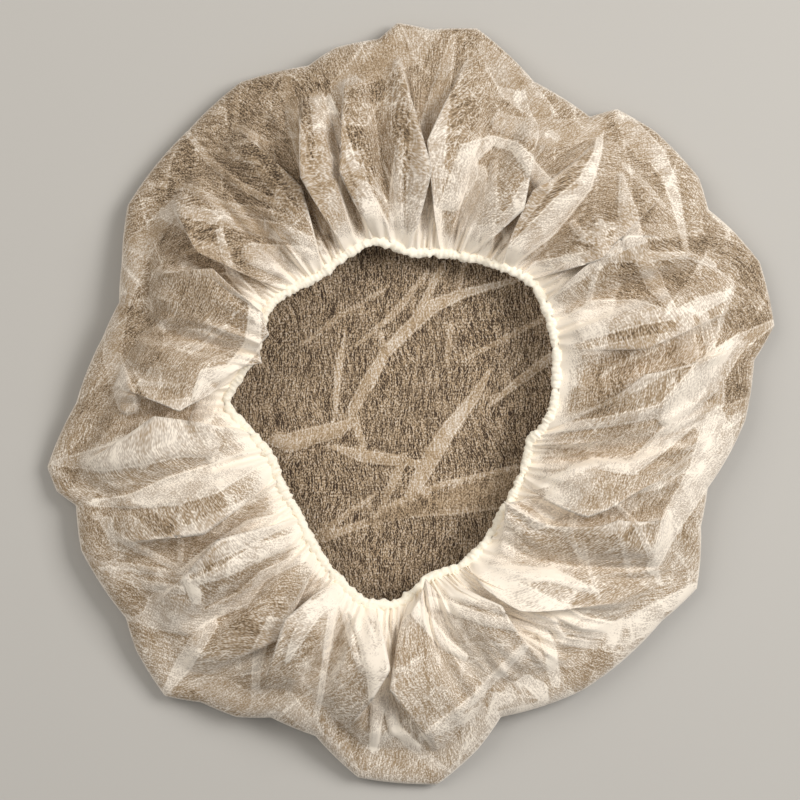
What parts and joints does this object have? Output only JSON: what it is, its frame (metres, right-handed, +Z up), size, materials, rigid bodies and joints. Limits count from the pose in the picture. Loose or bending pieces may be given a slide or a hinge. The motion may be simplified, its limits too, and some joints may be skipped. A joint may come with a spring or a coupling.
{
  "type": "disposable bouffant hairnet",
  "caption": "Round see-through non-woven cap lying open side up: flat crown, puffed gathered sides and a ruched elastic hem round the head opening.",
  "frame": {"origin": "on the surface that the cap lies on, under the middle of its outline", "axes": "+Z up, out of the head opening; +Y along the longest extent of the cap as it lies, towards the top of the usual view from above"},
  "size_m": [0.3248, 0.3416, 0.0419],
  "materials": {
    "non_woven": "sheer white thermal-bonded non-woven, cream where it doubles",
    "ruched_elastic": "tightly ruched cream-white non-woven over a thin elastic thread"
  },
  "bodies": {
    "root": {"cap_cloth": "non_woven", "elastic_hem": "ruched_elastic"}
  },
  "joints": []
}
